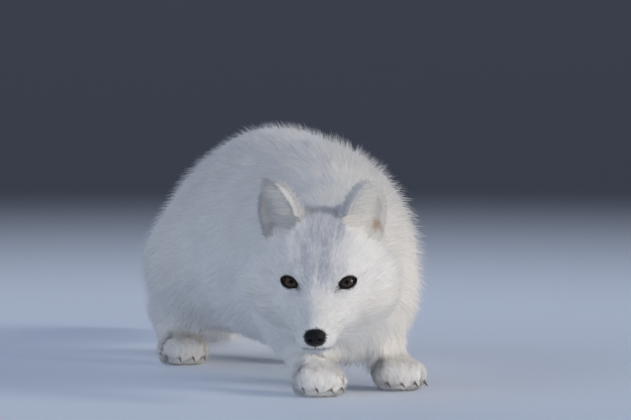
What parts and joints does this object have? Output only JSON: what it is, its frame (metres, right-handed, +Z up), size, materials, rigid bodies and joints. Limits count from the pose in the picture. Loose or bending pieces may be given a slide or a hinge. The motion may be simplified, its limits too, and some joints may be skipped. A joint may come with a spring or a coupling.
{
  "type": "arctic fox",
  "caption": "Life-size still model of a white arctic fox in winter coat, crouched low with its back arched and its head stretched out and turned to one side.",
  "frame": {"origin": "on the ground, under the middle of the fox's bounding box", "axes": "+Z up, -Y towards the fox's head, +X to the fox's left"},
  "size_m": [0.2188, 0.8844, 0.245],
  "materials": {
    "coat": "long dense white winter fur, faintly cream and grey in places",
    "nose": "black pebbled nose pad, damp",
    "eyes": "dark amber-brown iris under a clear wet cornea",
    "claws": "dark horn"
  },
  "bodies": {
    "root": {"chest": "coat", "claw_fore_left_1": "claws", "claw_fore_left_2": "claws", "claw_fore_left_3": "claws", "claw_fore_left_4": "claws", "claw_fore_right_1": "claws", "claw_fore_right_2": "claws", "claw_fore_right_3": "claws", "claw_fore_right_4": "claws", "claw_hind_left_1": "claws", "claw_hind_left_2": "claws", "claw_hind_left_3": "claws", "claw_hind_left_4": "claws", "claw_hind_right_1": "claws", "claw_hind_right_2": "claws", "claw_hind_right_3": "claws", "claw_hind_right_4": "claws", "ear_left": "coat", "ear_right": "coat", "eye_left": "eyes", "eye_right": "eyes", "foreleg_left": "coat", "foreleg_right": "coat", "forepaw_left": "coat", "forepaw_right": "coat", "head": "coat", "hindpaw_left": "coat", "hindpaw_right": "coat", "jaw": "coat", "loin": "coat", "neck": "coat", "nose": "nose", "rump": "coat", "shank_left": "coat", "shank_right": "coat", "tail_brush": "coat", "tail_root": "coat"}
  },
  "joints": []
}
